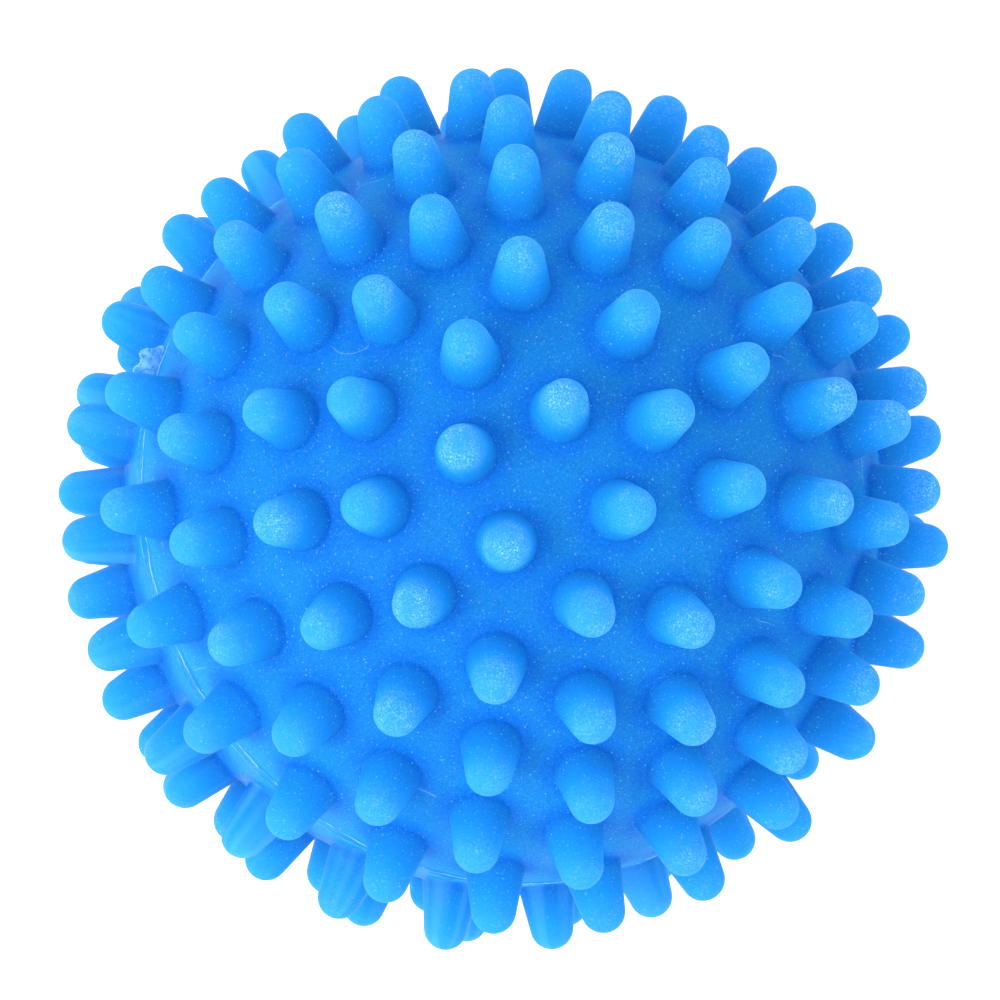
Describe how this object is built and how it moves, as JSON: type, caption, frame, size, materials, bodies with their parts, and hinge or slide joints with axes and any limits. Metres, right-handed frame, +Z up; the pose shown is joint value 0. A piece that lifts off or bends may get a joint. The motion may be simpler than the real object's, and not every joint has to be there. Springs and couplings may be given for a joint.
{
  "type": "dryer ball",
  "caption": "Hollow blue ball covered in short round-ended nubs, which tumbles with laundry in a dryer to keep it apart and soften it.",
  "frame": {"origin": "centre of the ball, which is the centre of the hollow body", "axes": "+Z is up as the ball lies on three nub tips of its lower half; the mould axis, square to the seam, leans 21.5 degrees from +Z towards an azimuth of 24.7 degrees from +X"},
  "size_m": [0.0642, 0.0644, 0.064],
  "materials": {
    "ball": "satin soft PVC with fine pale specks",
    "seam": "paler glossy weld line",
    "flash": "whitish translucent torn edge"
  },
  "bodies": {
    "root": {"upper_half_shell": "ball", "lower_half_shell": "ball", "upper_pole_nub": "ball", "upper_nubs_ring_1": "ball", "upper_nubs_ring_2": "ball", "upper_nubs_ring_3": "ball", "upper_nubs_ring_4": "ball", "upper_nubs_ring_5": "ball", "upper_nubs_ring_6": "ball", "lower_pole_nub": "ball", "lower_nubs_ring_1": "ball", "lower_nubs_ring_2": "ball", "lower_nubs_ring_3": "ball", "lower_nubs_ring_4": "ball", "lower_nubs_ring_5": "ball", "lower_nubs_ring_6": "ball", "seam_bead": "seam", "flash_tag": "flash"}
  },
  "joints": []
}
